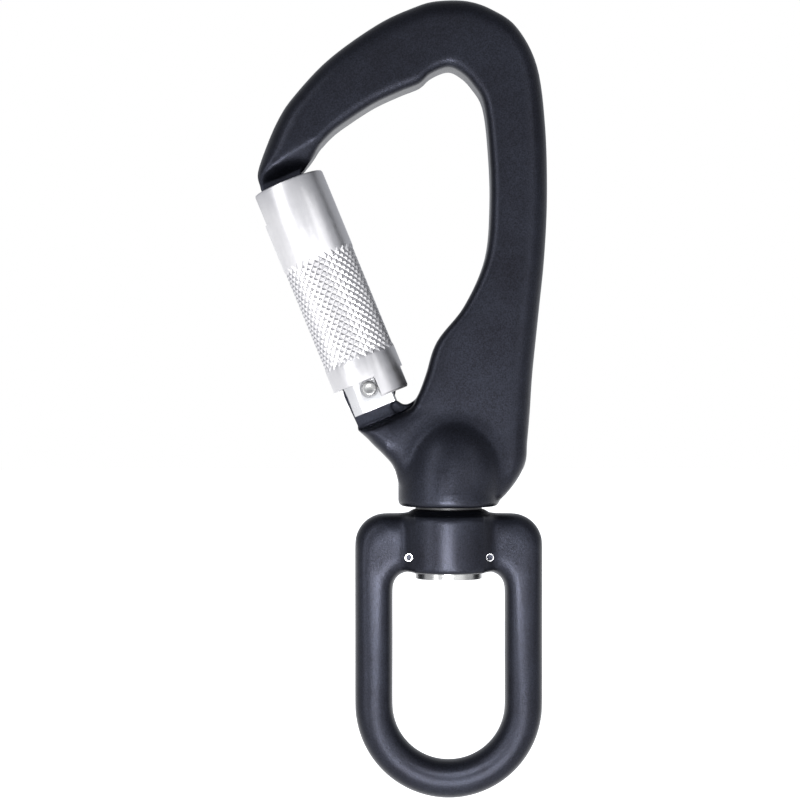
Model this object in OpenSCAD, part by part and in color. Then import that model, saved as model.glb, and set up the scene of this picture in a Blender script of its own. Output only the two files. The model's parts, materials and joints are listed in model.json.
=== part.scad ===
// Swivel carabiner: a hook with a sprung gate, a twist-lock sleeve and a ball-bearing swivel eye.
// The origin is where a load bears in the hook's basket. +Z runs up the swivel axis, +X towards
// the spine, and Y is the thickness. Units are millimetres.

/* [Hook] */
// Thickness of the hook through its spine
hook_t = 11.6; // [10:0.1:13]
// Rounding of the hook's outer edge
outer_round = 5.0; // [3:0.1:5]
// Rounding of the hook's inner edge
inner_round = 2.4; // [1.5:0.1:4]
// Radius of the round neck above the swivel
neck_r = 11.1; // [10.8:0.1:12]
// Depth of the neck's lower face under the basket
neck_z = 95.9; // [95.5:0.1:97]
// Thickness of the nose tongue that the sleeve closes round
nose_t = 4.8; // [3:0.1:5]

/* [Gate] */
// Lean of the gate's axis from the vertical
gate_tilt = 22.4; // [22:0.1:23]
// Distance of the hinge pin outside the sleeve's axis
pin_offset = 0.5; // [0.3:0.1:0.6]
// Radius of the hinge pin
pin_r = 1.6; // [1.2:0.1:1.9]
// Radius of the hinge tongue on the hook
tongue_r = 5.8; // [5.6:0.05:5.9]
// Thickness of the hinge tongue on the hook
tongue_t = 4.4; // [3:0.1:4.8]
// Distance of the gate's top above the hinge
gate_top = 42.0; // [38:0.5:42]
// Thickness of the gate across its two ears
ear_t = 10.0; // [8.5:0.1:10.4]
// Angle at which the gate meets the end of its travel
gate_swing = 38; // [20:1:38]

/* [Locking sleeve] */
// Outer radius of the sleeve
sleeve_r = 8.1; // [8:0.1:8.2]
// Wall of the sleeve
sleeve_wall = 1.2; // [1:0.1:1.3]
// Distance of the sleeve's top above the hinge
sleeve_top = 48.5; // [46:0.5:48.5]
// Depth of the two skirt segments below the hinge
skirt_drop = 2.65; // [2:0.05:2.65]
// Angle through which the sleeve turns
sleeve_turn = 95; // [80:1:96]

/* [Swivel eye] */
// Half of the eye's outer width
eye_w = 20.6; // [19:0.1:23]
// Thickness of the eye's bar, seen from the front
eye_bar = 8.3; // [7:0.1:8.6]
// Thickness of the eye's bar, front to back
eye_t = 9.4; // [8.5:0.1:12]
// Distance from the hub's shoulder to the bottom of the eye
eye_length = 62.5; // [55:0.5:75]
// Height of the hub
hub_h = 12.7; // [12.5:0.1:15]
// Radius of the swivel shaft
shaft_r = 4.0; // [3.5:0.1:4.5]
// Radius of the bearing's cavity in the hub
cavity_r = 8.3; // [8:0.1:8.6]
// Radius of one bearing ball
ball_r = 1.15; // [1:0.05:1.15]
// Number of bearing balls
ball_count = 12; // [8:1:14]

/* [Springs] */
// Wire radius of the gate spring
gate_wire_r = 0.25; // [0.2:0.05:0.3]
// Wire radius of the sleeve spring
sleeve_wire_r = 0.45; // [0.3:0.05:0.5]

/* [Hidden] */
$fn = 64;

run = 0.05;    // radial clearance of a running fit
gap = 0.3;     // clearance between parts that pass each other
past = 1;      // how far a cutter runs past the face that it cuts

// Gate: its own frame has X across, Z up the sleeve's axis, and the hinge at X = -pin_offset.
pivot = [-17.4, -70.1];
gate_origin = pivot + pin_offset * [cos(gate_tilt), sin(gate_tilt)];
sleeve_bore = sleeve_r - sleeve_wall;
head_r = sleeve_bore - run;
ear_r = sleeve_bore - 0.7;
ear_drop = 4.6;
ear_right = 4.1;
skirt_top = 2.0;
slot_top = tongue_r + 0.7;
lower_head = [slot_top + 0.7, slot_top + 5.5];
upper_head = gate_top - 5;
shank_r = 4.2;
plunger_r = 1.95;
plunger_bore_top = 30;
nose_low = gate_top + 1;
nose_left = -5.9;
nose_right = 3.6;
nose_join = sleeve_top + 4.5;
ring_z = gate_top - 2.5;
ring_t = 0.9;
ring_groove = 0.45;

// Cam on the hinge tongue: the plunger rides up it as the gate opens.
cam_low = 4.2;
cam_travel = tongue_r - cam_low;
tip_r = 0.9;
cam_gap = 0.25;
tip_z = cam_low + cam_gap + tip_r;
cam_start = atan2(tip_z, pin_offset);
cam_back = 100;
cam_end = 125;

// Relief in the hook that the sleeve's skirts turn in.
relief_r = norm([sleeve_r + pin_offset, skirt_drop]) + gap;
ledge_z = 7.6;
throat_t = 3.2;
web_low = 12;
// Half width of the tongue's web where it meets the relief, kept clear of the open gate's skirt
web_right = relief_r * cos(gate_swing + 26);

// Skirts: angles from +X of the gate's frame. Each one stops against the hinge pin.
pin_half = asin((pin_r + 0.1 - pin_offset) / sleeve_bore);
front_skirt = [-90 + pin_half, -20];
back_skirt = [100, 249 - sleeve_turn];

// Swivel, from the neck's face down.
washer_t = 0.5;
boss_z = neck_z + washer_t + 2 * run;
hub_z = boss_z + 1.0;
hub_low = hub_z + hub_h;
web_z = boss_z + 3.4;
race_t = 0.8;
race_groove = 0.35;
ball_z = web_z + race_t - race_groove + run + ball_r;
race_gap = 2 * (ball_r + run - race_groove);
lower_race_z = web_z + race_t + race_gap;
head_z = lower_race_z + race_t;
head_t = 2.06;
cap_z = head_z + head_t + gap;
ball_ring_r = (shaft_r + cavity_r) / 2;
bush_wall = 1.0;
shaft_depth = 14;
disc_r = 7.3;
disc_t = 1.5;
roll_r = 0.95;
roll_x = cavity_r + 0.5;
roll_z = cap_z + roll_r + 0.25;
seal_r = 0.55;
seal_z = cap_z + 3.6;
eye_bow_z = hub_z + eye_length - eye_w;
eye_corner_out = 6.7;
eye_corner_in = 3.4;

// Hook outline. Each rib is [outer X, outer Z, inner X, inner Z, half thickness, outer rounding,
// inner rounding], from the nose round the basket and down the spine to the neck.
half = hook_t / 2;
nose_outer = gate_point(nose_left + 0.15, sleeve_top + 1.6);
nose_inner = gate_point(nose_right + 0.7, sleeve_top + 1.1);
shoulder_outer = gate_point(nose_left + 0.7, sleeve_top + 4.4);
shoulder_inner = gate_point(nose_right + 4.0, sleeve_top + 3.1);
ro = outer_round;
ri = inner_round;
RIBS = [
    rib(nose_outer, nose_inner, 3.2, 2.2, 1.6),
    rib(shoulder_outer, shoulder_inner, half - 0.5, ro - 1, ri),
    rib([-40.3, -17.7], [-27.2, -15.8], half, ro, ri),
    rib([-34.4, -6.4], [-22.4, -11.9], half, ro, ri),
    rib([-26.4, 2.1], [-16.3, -8.0], half, ro, ri),
    rib([-15.6, 9.8], [-10.4, -5.3], half, ro, ri),
    rib([-4.4, 14.5], [-4.6, -2.3], half, ro, ri),
    rib([6.2, 14.5], [0, 0], half, ro, ri),
    rib([14.4, 9.8], [4.6, -3.2], half, ro, ri),
    rib([19.4, 0.6], [7.5, -8.0], half, ro, ri),
    rib([21.2, -12.7], [8.7, -17.5], half, ro, ri),
    rib([21.6, -28.0], [9.1, -29.5], half, ro, ri),
    rib([21.0, -41.0], [8.0, -41.5], half, ro, ri),
    rib([19.9, -52.0], [3.4, -52.0], half, ro, ri),
    rib([18.9, -61.5], [-2.6, -59.8], half, ro, ri),
    rib([18.4, -66.5], [-5.0, -67.0], half, ro, ri),
    rib([18.1, -70.5], [-6.9, -71.8], half, ro, ri),
    rib([17.9, -74.0], [-9.6, -75.0], half, ro, ri),
    rib([17.6, -78.0], [-20.7, -77.0], half, ro, ri + 1),
    rib([17.2, -82.0], [-17.4, -81.5], half, ro - 0.5, ri + 1.6),
    rib([16.9, -86.0], [-14.4, -84.5], half, ro - 0.5, ri + 1.6),
    rib([15.3, -89.6], [-12.2, -87.1], half, ro - 0.5, ri + 1.6),
    rib([12.6, -93.2], [-11.1, -90.6], half, ro - 0.5, ri + 1.6),
    rib([10.0, -neck_z + 0.3], [-10.0, -neck_z + 0.3], half, ro - 0.5, ri + 1.6),
];
rib_steps = 3;
dome_r = 11.7;
dome_z = 87.6;
corner_steps = 5;

function gate_point(across, up) = gate_origin
    + across * [cos(gate_tilt), sin(gate_tilt)] + up * [-sin(gate_tilt), cos(gate_tilt)];
function rib(outer, inner, half_t, r_out, r_in) = [each outer, each inner, half_t, r_out, r_in];

// A smooth curve through four values, between the middle two
function smooth(a, b, c, d, t) = 0.5 * (2 * b + (c - a) * t + (2 * a - 5 * b + 4 * c - d) * t ^ 2
    + (3 * b - a - 3 * c + d) * t ^ 3);
function smooth_ribs(ribs, steps) = let (last = len(ribs) - 1) [
    for (i = [0:last - 1], k = [0:steps - 1])
        smooth(ribs[max(i - 1, 0)], ribs[i], ribs[i + 1], ribs[min(i + 2, last)], k / steps),
    ribs[last]
];

// One rounded cross-section between a rib's outer and inner points
function section(r, steps) =
    let (outer = [r[0], r[1]], inner = [r[2], r[3]], width = norm(outer - inner),
        along = (outer - inner) / width, h = r[4], ro = r[5], ri = r[6])
    [for (c = [[width - ro, h - ro, ro, 0], [ri, h - ri, ri, 90],
               [ri, ri - h, ri, 180], [width - ro, ro - h, ro, 270]], k = [0:steps])
        let (angle = c[3] + 90 * k / steps, a = c[0] + c[2] * cos(angle),
            b = c[1] + c[2] * sin(angle), at = inner + a * along)
        [at[0], b, at[1]]];

// A closed skin over rings of points, capped at both ends
module skin(rings) {
    n = len(rings[0]);
    last = len(rings) - 1;
    sides = [for (i = [0:last - 1], j = [0:n - 1])
        let (a = i * n + j, b = i * n + (j + 1) % n, c = b + n, d = a + n)
        each [[a, b, c], [a, c, d]]];
    caps = [[for (j = [n - 1:-1:0]) j], [for (j = [0:n - 1]) last * n + j]];
    polyhedron([for (ring = rings) each ring], concat(sides, caps));
}

module in_gate() translate([gate_origin[0], 0, gate_origin[1]]) rotate([0, -gate_tilt, 0]) children();
module along_y(length) rotate([90, 0, 0]) translate([0, 0, -length / 2]) children();
module tube(outer, inner, height) difference() {
    cylinder(r = outer, h = height);
    translate([0, 0, -past]) cylinder(r = inner, h = height + 2 * past);
}
module coil(r, wire_r, height, turns, steps) {
    rings = [for (i = [0:turns * steps]) let (turn = 360 * i / steps, z = height * i / turns / steps)
        [for (k = [0:7]) let (f = 45 * k, d = r + wire_r * cos(f))
            [d * cos(turn), d * sin(turn), z + wire_r * sin(f)]]];
    skin(rings);
}

module hinge_tongue() {
    function cam(f) = f > 180 || f < cam_start - gate_swing ? tongue_r
        : f < cam_start ? cam_low + cam_travel * (cam_start - f) / gate_swing
        : f < cam_back ? cam_low
        : min(tongue_r, cam_low + cam_travel * (f - cam_back) / (cam_end - cam_back));
    translate([-pin_offset, 0, 0]) along_y(tongue_t) linear_extrude(tongue_t) {
        polygon([for (f = [-90:3:269]) cam(f) * [cos(f), sin(f)]]);
        polygon([[-tongue_r, 0], [0.4 - tongue_r, -ledge_z], [2.7 - tongue_r, -web_low],
            [web_right + 2, -web_low], [web_right, -relief_r],
            [0.4 * tongue_r, -0.85 * tongue_r], [0, 0]]);
    }
    // The throat beside the tongue is thinner, so that the sleeve's skirts pass on both sides of it.
    translate([-pin_offset, 0, 0]) along_y(throat_t) linear_extrude(throat_t) polygon([
        [0, 0.3 - tongue_r], [4.6, -4.6], [5.1, -5.5], [5.6, -6.05], [6.4, -6.35], [7.4, -6.3],
        [8.6, -5.95], [8.6, -ledge_z - past], [0, -ledge_z - past]]);
}

module nose_tongue() {
    lead = 0.8;
    along_y(nose_t) linear_extrude(nose_t) polygon([
        [nose_left, nose_low + lead], [nose_left + lead, nose_low], [nose_right - lead, nose_low],
        [nose_right, nose_low + lead], [nose_right, nose_join], [nose_left + 1, nose_join],
        [nose_left, sleeve_top + 1]]);
}

// The round neck, whose ball-shaped top swells out of the flat web
module neck() {
    flare = 0.4;
    translate([0, 0, -neck_z]) {
        cylinder(r = neck_r, h = 2);
        translate([0, 0, 2]) cylinder(r1 = neck_r, r2 = neck_r - flare, h = 2);
    }
    intersection() {
        translate([0, 0, -dome_z]) sphere(r = dome_r);
        translate([0, 0, -neck_z + 4 - run]) cylinder(r = neck_r - flare, h = 2 * dome_r);
    }
}

module hook_body() color([0.13, 0.14, 0.17]) difference() {
    union() {
        difference() {
            skin([for (r = smooth_ribs(RIBS, rib_steps)) section(r, corner_steps)]);
            in_gate() translate([-pin_offset, 0, 0]) intersection() {
                along_y(3 * hook_t) cylinder(r = relief_r, h = 3 * hook_t);
                translate([-15, -15, -ledge_z]) cube([30, 30, 30]);
            }
        }
        neck();
        in_gate() hinge_tongue();
        in_gate() nose_tongue();
    }
    in_gate() translate([-pin_offset, 0, 0]) along_y(tongue_t + 2)
        cylinder(r = pin_r + run, h = tongue_t + 2);
    translate([0, 0, -neck_z - past]) cylinder(r = shaft_r, h = shaft_depth + past);
}

module gate() color([0.72, 0.73, 0.75]) in_gate() difference() {
    union() {
        intersection() {
            translate([0, 0, -ear_drop]) cylinder(r = ear_r, h = ear_drop + lower_head[0]);
            translate([-10, -ear_t / 2, -ear_drop]) cube([10 + ear_right, ear_t, ear_drop + lower_head[0]]);
        }
        translate([0, 0, lower_head[0]]) cylinder(r = head_r, h = lower_head[1] - lower_head[0]);
        translate([0, 0, lower_head[1]]) cylinder(r = shank_r, h = upper_head - lower_head[1]);
        translate([0, 0, upper_head]) cylinder(r = head_r, h = gate_top - upper_head);
    }
    translate([-10, -tongue_t / 2 - 0.1, -ear_drop - past])
        cube([20, tongue_t + 0.2, slot_top + ear_drop + past]);
    translate([0, 0, slot_top - past]) cylinder(r = plunger_r + run, h = plunger_bore_top - slot_top + past);
    translate([-pin_offset, 0, 0]) {
        along_y(ear_t + 2) cylinder(r = pin_r, h = ear_t + 2);
        translate([0, -ear_t / 2 + 0.8, 0]) rotate([90, 0, 0]) cylinder(r = pin_r + 0.3, h = 2);
    }
    translate([0, 0, ring_z - ring_t / 2 - run]) tube(head_r + past, head_r - 1.2, ring_t + 2 * run);
}

module gate_pin() color([0.62, 0.62, 0.63]) in_gate() translate([-pin_offset, 0, 0])
    rotate([90, 0, 0]) {
        stub = sleeve_r - 0.2;
        translate([0, 0, -ear_t / 2]) cylinder(r = pin_r, h = ear_t / 2 + stub - 0.3);
        translate([0, 0, stub - 0.3]) cylinder(r1 = pin_r, r2 = pin_r - 0.3, h = 0.3);
    }

module gate_plunger() color([0.75, 0.72, 0.62]) in_gate() {
    translate([0, 0, tip_z]) sphere(r = tip_r);
    translate([0, 0, tip_z]) cylinder(r = tip_r, h = slot_top + cam_travel - tip_z);
    translate([0, 0, slot_top + 0.05]) cylinder(r = plunger_r, h = 6);
}

module gate_spring() color([0.8, 0.8, 0.8]) in_gate() {
    low = slot_top + 6.05 + gate_wire_r;
    translate([0, 0, low]) coil(1.45, gate_wire_r, plunger_bore_top - gate_wire_r - low, 12, 14);
}

module sleeve_ring() color([0.6, 0.6, 0.62]) in_gate() translate([0, 0, ring_z - ring_t / 2]) difference() {
    tube(sleeve_bore + ring_groove - run, head_r - 1.2, ring_t);
    translate([0, -1.2, -past]) cube([10, 2.4, ring_t + 2 * past]);
}

module sleeve_spring() color([0.8, 0.8, 0.8]) in_gate() {
    low = lower_head[1] + sleeve_wire_r + run;
    coil_r = (shank_r + sleeve_bore) / 2;
    translate([0, 0, low])
        coil(coil_r, sleeve_wire_r, upper_head - lower_head[1] - 2 * (sleeve_wire_r + run), 9, 24);
}

// A wedge of the plane between two angles, wide enough to cut the sleeve
module wedge(from, to, reach) {
    n = 4;
    polygon([[0, 0], for (i = [0:n]) let (f = from + (to - from) * i / n) reach * [cos(f), sin(f)]]);
}

module locking_sleeve() color([0.78, 0.78, 0.8]) in_gate() {
    edge = 0.4;
    slot = nose_t / 2 + 0.25;
    slot_floor = gate_top - 0.4;
    difference() {
        union() {
            translate([0, 0, skirt_top]) cylinder(r = sleeve_r, h = sleeve_top - edge - skirt_top);
            translate([0, 0, sleeve_top - edge]) cylinder(r1 = sleeve_r, r2 = sleeve_r - edge, h = edge);
        }
        translate([0, 0, skirt_top - past]) cylinder(r = sleeve_bore, h = sleeve_top - skirt_top + 2 * past);
        translate([0, 0, ring_z - ring_t / 2 - run])
            cylinder(r = sleeve_bore + ring_groove, h = ring_t + 2 * run);
        translate([-sleeve_r - past, -slot, slot_floor]) cube([sleeve_r + past, 2 * slot, 20]);
    }
    for (skirt = [front_skirt, back_skirt])
        translate([0, 0, -skirt_drop]) intersection() {
            tube(sleeve_r, sleeve_bore, skirt_drop + skirt_top);
            linear_extrude(skirt_drop + skirt_top) wedge(skirt[0], skirt[1], 3 * sleeve_r);
        }
}

function eye_rib(outer, inner, half_t) =
    rib(outer, inner, half_t, min(4, half_t - 0.2), min(3.9, half_t - 0.3));
// The eye's right side, from inside the hub round the corner and down to the middle of the bow
function eye_side() =
    let (h = eye_t / 2, inner_w = eye_w - eye_bar,
        top_out = [eye_w - eye_corner_out, -hub_z - eye_corner_out],
        top_in = [inner_w - eye_corner_in, -hub_low - eye_corner_in])
    [
        eye_rib([3, -hub_z], [3, -hub_low], h + 0.8),
        for (f = [90:-18:0]) eye_rib(top_out + eye_corner_out * [cos(f), sin(f)],
            top_in + eye_corner_in * [cos(f), sin(f)], h + 0.8 * f / 90),
        eye_rib([eye_w, (-eye_bow_z + top_out[1]) / 2], [inner_w, (-eye_bow_z + top_in[1]) / 2], h),
        for (f = [0:-15:-90]) eye_rib([0, -eye_bow_z] + eye_w * [cos(f), sin(f)],
            [0, -eye_bow_z] + inner_w * [cos(f), sin(f)], h),
    ];
function other_side(r) = rib([-r[0], r[1]], [-r[2], r[3]], r[4], r[5], r[6]);

module swivel_eye() color([0.13, 0.14, 0.17]) {
    right = eye_side();
    last = len(right) - 1;
    ribs = [each right, for (i = [last - 1:-1:0]) other_side(right[i])];
    difference() {
        union() {
            skin([for (r = ribs) section(r, corner_steps)]);
            translate([0, 0, -hub_low]) cylinder(r = neck_r, h = hub_h);
            translate([0, 0, -hub_z]) cylinder(r1 = 9.3, r2 = 7.5, h = hub_z - boss_z);
        }
        translate([0, 0, -hub_low - past]) cylinder(r = cavity_r, h = hub_low - web_z + past);
        translate([0, 0, -web_z - past]) cylinder(r = shaft_r + run + bush_wall, h = 10);
        for (side = [-1, 1])
            translate([side * roll_x, 0, -roll_z]) along_y(30) cylinder(r = roll_r, h = 30);
    }
}

module swivel_shaft() color([0.55, 0.56, 0.58]) {
    translate([0, 0, -head_z]) cylinder(r = shaft_r, h = head_z - neck_z + shaft_depth - 0.2);
    translate([0, 0, -head_z - head_t]) cylinder(r = cavity_r - 0.7, h = head_t);
}

module thrust_washer() color([0.08, 0.08, 0.09]) translate([0, 0, -neck_z - washer_t - run])
    tube(disc_r, shaft_r + run, washer_t);

module hub_bush() color([0.7, 0.55, 0.3]) translate([0, 0, -web_z])
    tube(shaft_r + run + bush_wall, shaft_r + run, web_z - boss_z);

module ball_track() translate([0, 0, -ball_z]) rotate_extrude() translate([ball_ring_r, 0])
    circle(r = ball_r + run);

module upper_race() color([0.7, 0.71, 0.73]) difference() {
    translate([0, 0, -web_z - race_t]) tube(cavity_r, shaft_r + 0.4, race_t);
    ball_track();
}

module lower_race() color([0.7, 0.71, 0.73]) difference() {
    translate([0, 0, -lower_race_z - race_t]) tube(cavity_r - 0.7, shaft_r, race_t);
    ball_track();
}

module bearing_balls() color([0.85, 0.86, 0.88])
    for (i = [0:ball_count - 1])
        rotate(360 * i / ball_count) translate([ball_ring_r, 0, -ball_z]) sphere(r = ball_r);

module ball_cage() color([0.72, 0.58, 0.3]) difference() {
    cage_t = race_gap - 0.5;
    translate([0, 0, -ball_z - cage_t / 2]) tube(ball_ring_r + 1.4, ball_ring_r - 1.4, cage_t);
    for (i = [0:ball_count - 1])
        rotate(360 * i / ball_count) translate([ball_ring_r, 0, -ball_z - cage_t])
            cylinder(r = ball_r + run, h = 2 * cage_t);
}

module bearing_cap() color([0.6, 0.6, 0.6]) difference() {
    union() {
        translate([0, 0, -hub_low]) cylinder(r = cavity_r, h = hub_low - cap_z);
        translate([0, 0, -hub_low - disc_t]) cylinder(r = disc_r, h = disc_t);
    }
    for (side = [-1, 1])
        translate([side * roll_x, 0, -roll_z]) along_y(30) cylinder(r = roll_r, h = 30);
    translate([0, 0, -seal_z - seal_r]) tube(cavity_r + past, cavity_r - 2 * seal_r, 2 * seal_r);
}

module cap_seal() color([0.05, 0.05, 0.05]) translate([0, 0, -seal_z]) rotate_extrude()
    translate([cavity_r - seal_r, 0]) circle(r = seal_r);

module roll_pins() color([0.75, 0.73, 0.7]) {
    length = 2 * (sqrt(neck_r ^ 2 - roll_x ^ 2) - 0.6);
    for (side = [-1, 1])
        translate([side * roll_x, 0, -roll_z]) along_y(length) tube(roll_r, roll_r * 0.5, length);
}

hook_body();
swivel_shaft();
thrust_washer();
gate();
gate_pin();
gate_plunger();
gate_spring();
sleeve_ring();
sleeve_spring();
locking_sleeve();
swivel_eye();
hub_bush();
upper_race();
lower_race();
bearing_balls();
ball_cage();
bearing_cap();
cap_seal();
roll_pins();
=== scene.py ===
# %% [markdown]
# # A swivel carabiner
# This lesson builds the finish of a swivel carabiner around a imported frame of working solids:
# a forged hook, a knurled locking sleeve on the gate, and an oblong swivel eye. The frame already
# holds every moving part at its real place, so the script only replaces the parts whose surface
# deserves a finer mesh, and gives a material to everything.

# %% The frame
import json
import math

import bmesh
import bpy
from mathutils import Matrix, Vector


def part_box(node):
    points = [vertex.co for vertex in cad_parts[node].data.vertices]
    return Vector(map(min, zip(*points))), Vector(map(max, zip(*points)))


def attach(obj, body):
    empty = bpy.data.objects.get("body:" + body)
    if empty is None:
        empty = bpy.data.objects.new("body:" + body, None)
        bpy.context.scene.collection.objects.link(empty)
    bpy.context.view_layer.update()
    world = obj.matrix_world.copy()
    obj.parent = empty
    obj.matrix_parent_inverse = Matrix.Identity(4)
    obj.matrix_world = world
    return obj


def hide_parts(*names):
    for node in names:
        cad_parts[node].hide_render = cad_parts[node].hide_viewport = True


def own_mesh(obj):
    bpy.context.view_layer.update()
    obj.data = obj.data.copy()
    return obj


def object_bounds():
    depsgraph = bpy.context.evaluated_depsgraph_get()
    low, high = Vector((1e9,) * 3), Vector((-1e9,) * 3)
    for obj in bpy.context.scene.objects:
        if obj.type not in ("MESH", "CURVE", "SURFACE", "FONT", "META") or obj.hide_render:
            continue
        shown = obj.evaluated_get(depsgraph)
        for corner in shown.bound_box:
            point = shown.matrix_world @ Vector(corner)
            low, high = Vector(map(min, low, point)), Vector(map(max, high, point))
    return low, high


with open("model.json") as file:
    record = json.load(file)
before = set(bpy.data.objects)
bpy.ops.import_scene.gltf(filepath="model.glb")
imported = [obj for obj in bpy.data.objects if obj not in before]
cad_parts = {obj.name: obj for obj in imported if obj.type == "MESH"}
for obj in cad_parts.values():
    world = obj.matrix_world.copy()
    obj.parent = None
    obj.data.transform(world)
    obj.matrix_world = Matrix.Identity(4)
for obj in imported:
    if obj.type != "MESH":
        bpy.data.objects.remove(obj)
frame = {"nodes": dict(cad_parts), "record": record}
cad_box = [list(corner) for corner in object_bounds()]
joints = {joint["name"]: joint for joint in frame["record"]["behaviour"]["joints"]}

# %% [markdown]
# ## Units and the gate's own frame
# The pieces are modelled in millimetres, because sizes are then easy to read, and each one is
# brought down to metres when it is finished. The gate leans, so its parts are made upright about
# its own axis and then turned into place. The joints give that axis and the hinge, and heights on
# the gate are measured along the axis from the point that the sleeve's joint gives.

# %% Sizes that come from the frame
MM = 0.001


def size_box(node):
    """A CAD node's lowest and highest corners, in millimetres."""
    low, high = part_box(node)
    return Vector(low) / MM, Vector(high) / MM


twist = joints["sleeve_twist"]
gate_up = Vector(twist["axis"]).normalized()
gate_base = Vector(twist["pos_m"]) / MM
hinge = Vector(joints["gate_swing"]["pos_m"]) / MM
gate_across = Vector((gate_up.z, 0, -gate_up.x))
TO_GATE = Matrix.Translation(gate_base) @ Matrix(
    (gate_across, (0, 1, 0), gate_up)).transposed().to_4x4()
pin_across = (hinge - gate_base).dot(gate_across)
hook_low, hook_high = size_box("hook_body")
eye_low, eye_high = size_box("swivel_eye")
cap_r = size_box("bearing_cap")[1].x
print("the gate leans", round(math.degrees(math.atan2(-gate_up.x, gate_up.z)), 1), "degrees")


def at_gate(across, up):
    """Where a point that is measured across and up the gate lies, as (x, z)."""
    point = gate_base + across * gate_across + up * gate_up
    return (point.x, point.z)


# %% [markdown]
# ## Nodes and colours
# Colours are written as hex values, as a paint chart gives them. Shaders work in linear light, so
# one function turns a hex value into what they expect. One small function adds a node, with its
# settings and links, so that a material reads as a short list.

# %% Material helpers
def colour(hex_value):
    channels = [int(hex_value[i:i + 2], 16) / 255 for i in (1, 3, 5)]
    return [c / 12.92 if c <= 0.04045 else ((c + 0.055) / 1.055) ** 2.4 for c in channels] + [1]


def add_node(tree, kind, settings=None, inputs=None):
    node = tree.nodes.new("ShaderNode" + kind)
    for name, value in (settings or {}).items():
        setattr(node, name, value)
    for name, value in (inputs or {}).items():
        if isinstance(value, bpy.types.NodeSocket):
            tree.links.new(value, node.inputs[name])
        else:
            node.inputs[name].default_value = value
    return node


def new_material(name):
    material = bpy.data.materials.new(name)
    material.use_nodes = True
    material.node_tree.nodes.clear()
    return material, material.node_tree


def close_material(tree, shader):
    add_node(tree, "OutputMaterial", inputs={"Surface": shader.outputs[0]})


# %% [markdown]
# ## Black anodised aluminium, bead-blasted
# Hook and eye are forged, blasted with glass beads and then dyed black in the anodising bath.
# Blasting leaves a fine even grain, about 0.1 mm, which is drawn at 0.3 mm because a finer one
# doesn't show. The oxide is glassy over metal, so highlights are soft and slightly blue.

# %% Black anodise
GRAIN_MM = 0.3
PATCHES_PER_M = 90  # one lighter or darker patch of dye to each 11 mm
NOISE_LOW, NOISE_HIGH = 0.3, 0.7  # noise rarely leaves this range, so ramps and maps read it


def black_anodise():
    material, tree = new_material("black_anodised_aluminium")
    place = add_node(tree, "TexCoord")
    grain = add_node(tree, "TexNoise", inputs={
        "Vector": place.outputs["Object"], "Scale": 1 / (GRAIN_MM * MM),
        "Detail": 3, "Roughness": 0.6})
    patch = add_node(tree, "TexNoise", inputs={
        "Vector": place.outputs["Object"], "Scale": PATCHES_PER_M, "Detail": 4, "Roughness": 0.6})
    dye = add_node(tree, "ValToRGB", inputs={"Fac": patch.outputs["Fac"]})
    dye.color_ramp.elements[0].position = NOISE_LOW
    dye.color_ramp.elements[0].color = colour("#17181f")
    dye.color_ramp.elements[1].position = NOISE_HIGH
    dye.color_ramp.elements[1].color = colour("#1d1f27")
    sparkle = add_node(tree, "MapRange", inputs={
        "Value": grain.outputs["Fac"], "From Min": NOISE_LOW, "From Max": NOISE_HIGH,
        "To Min": 0.5, "To Max": 1.6})
    tinted = add_node(tree, "VectorMath", {"operation": "SCALE"}, {
        0: dye.outputs["Color"], "Scale": sparkle.outputs["Result"]})
    dull = add_node(tree, "MapRange", inputs={
        "Value": patch.outputs["Fac"], "From Min": NOISE_LOW, "From Max": NOISE_HIGH,
        "To Min": 0.34, "To Max": 0.4})
    bump = add_node(tree, "Bump", inputs={
        "Height": grain.outputs["Fac"], "Strength": 0.6, "Distance": 0.05 * MM})
    shader = add_node(tree, "BsdfPrincipled", inputs={
        "Base Color": tinted.outputs["Vector"], "Metallic": 0.85,
        "Roughness": dull.outputs["Result"], "Normal": bump.outputs["Normal"]})
    close_material(tree, shader)
    return material


# %% [markdown]
# ## Turned metals
# The sleeve, the gate and the bearing parts are turned on a lathe. The tool leaves rings round
# the part's axis, so the noise is stretched round that axis: coarse across it and fine along it.

# %% Turned metal
CLOUDS_PER_M = 160  # one faint cloud of tone to each 6 mm
STRETCH = 0.02  # how much longer a ring is along its turn than across


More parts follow.
